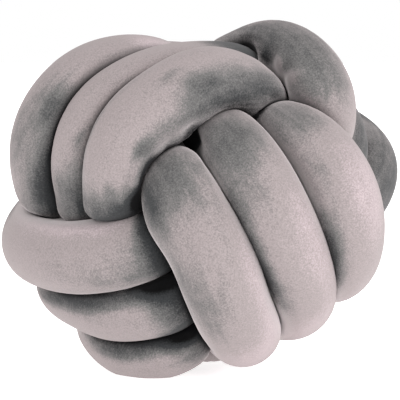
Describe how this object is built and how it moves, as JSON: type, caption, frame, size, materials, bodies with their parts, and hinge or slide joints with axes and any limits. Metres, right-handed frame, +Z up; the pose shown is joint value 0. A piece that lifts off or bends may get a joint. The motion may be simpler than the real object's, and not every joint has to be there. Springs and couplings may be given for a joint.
{
  "type": "knot cushion",
  "caption": "Ball-shaped knot cushion of a long, filled velvet tube tied in crossing groups of turns, for a sofa, bed or floor.",
  "frame": {"origin": "centre of the bounding box, on the surface that the cushion rests on", "axes": "+Z up, +Y away from the side with the slanted front strands, +X to the right of that side"},
  "size_m": [0.2976, 0.2892, 0.2539],
  "materials": {
    "velvet": "short-pile velvet, warm grey, brushed in patches"
  },
  "bodies": {
    "root": {"knotted_tube": "velvet"}
  },
  "joints": []
}
